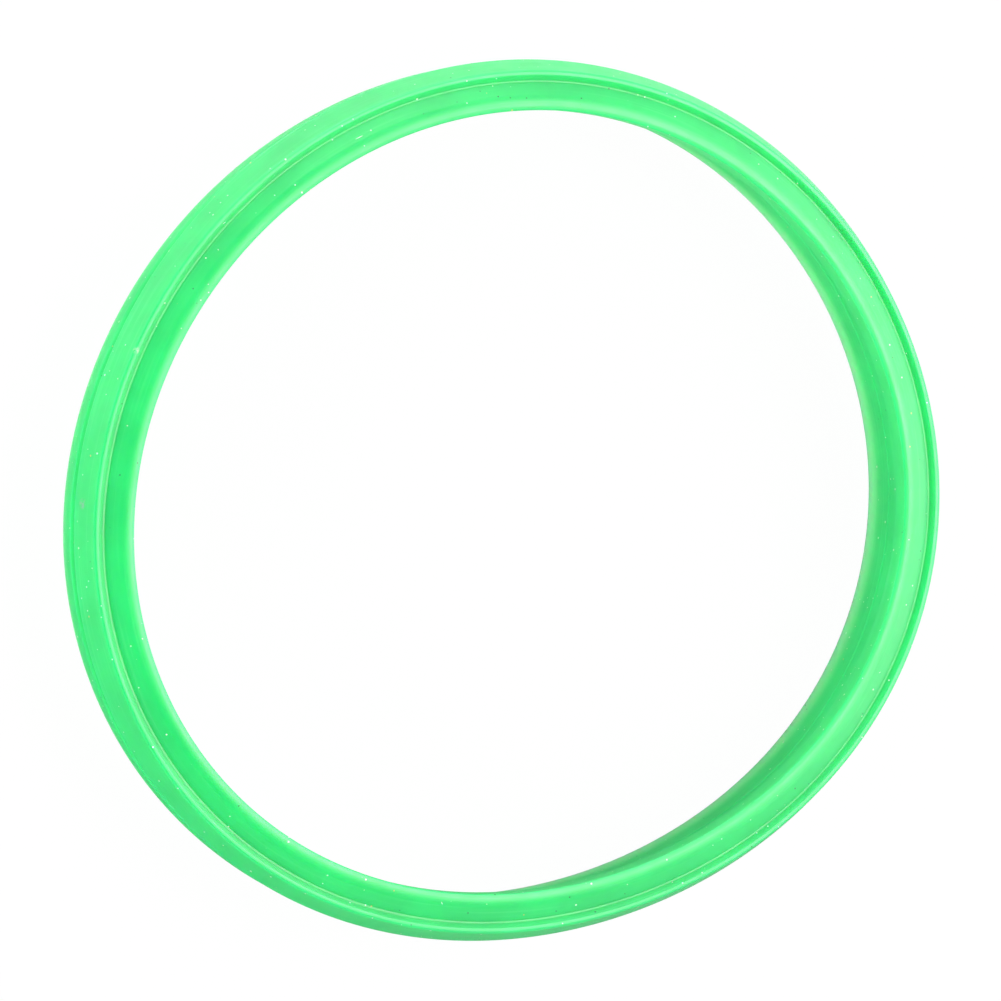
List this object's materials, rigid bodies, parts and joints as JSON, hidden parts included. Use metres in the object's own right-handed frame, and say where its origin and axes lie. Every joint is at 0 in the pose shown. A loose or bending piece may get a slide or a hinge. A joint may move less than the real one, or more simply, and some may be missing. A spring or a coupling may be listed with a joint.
{
  "type": "vibration damper ring",
  "caption": "Soft moulded ring with a grooved double lip at the front and a plain heel behind, pressed between a round barrel and its housing to soak up vibration.",
  "frame": {"origin": "centre of the back face, where the ring's axis meets the surface it lies on", "axes": "+Z along the ring's axis, from the plain back face towards the two lips"},
  "size_m": [0.07, 0.07, 0.0109],
  "materials": {
    "green_silicone": "glossy, slightly translucent bright green silicone rubber with fine dust on it"
  },
  "bodies": {
    "root": {"damper_ring": "green_silicone"}
  },
  "joints": []
}
